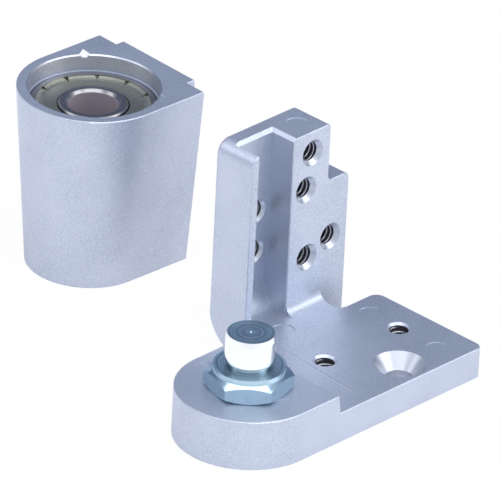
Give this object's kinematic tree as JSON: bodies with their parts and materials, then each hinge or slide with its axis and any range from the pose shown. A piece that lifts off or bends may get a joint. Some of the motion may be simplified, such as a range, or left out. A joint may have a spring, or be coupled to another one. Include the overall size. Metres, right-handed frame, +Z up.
{
  "type": "offset bottom door pivot set",
  "caption": "Offset bottom pivot for an aluminium entrance door: cast floor bracket with pivot pin, and the door-side bearing housing standing beside it.",
  "frame": {"origin": "on the pivot pin's axis, at the floor bracket's flat underside", "axes": "+Z up along the pivot pin, +X along the plate away from the rounded nose, +Y towards the upright leg"},
  "size_m": [0.0864, 0.1314, 0.0595],
  "materials": {
    "satin_casting": "satin",
    "zinc_plated_steel": "satin",
    "bearing_steel": "polished",
    "shield_steel": "satin"
  },
  "bodies": {
    "frame": {"base_bracket": "satin_casting", "pivot_pin": "zinc_plated_steel", "door_housing": "satin_casting", "bearing_outer_ring": "bearing_steel", "shield_upper": "shield_steel", "shield_lower": "shield_steel"},
    "inner_ring": {"bearing_inner_ring": "bearing_steel"},
    "ball_cage": {"cage_upper": "shield_steel", "cage_lower": "shield_steel", "cage_rivets": "shield_steel", "ball_1": "bearing_steel", "ball_2": "bearing_steel", "ball_3": "bearing_steel", "ball_4": "bearing_steel", "ball_5": "bearing_steel", "ball_6": "bearing_steel", "ball_7": "bearing_steel"}
  },
  "joints": [
    {"name": "bearing_turn", "type": "hinge", "parent": "frame", "child": "inner_ring", "pos_m": [0.0349, 0.0921, 0.0411], "axis": [0, 0, 1], "continuous": true},
    {"name": "cage_turn", "type": "hinge", "parent": "frame", "child": "ball_cage", "pos_m": [0.0349, 0.0921, 0.0411], "axis": [0, 0, 1], "continuous": true}
  ],
  "couplings": [
    {"joint": "cage_turn", "follows": "bearing_turn", "ratio": 0.3646}
  ]
}
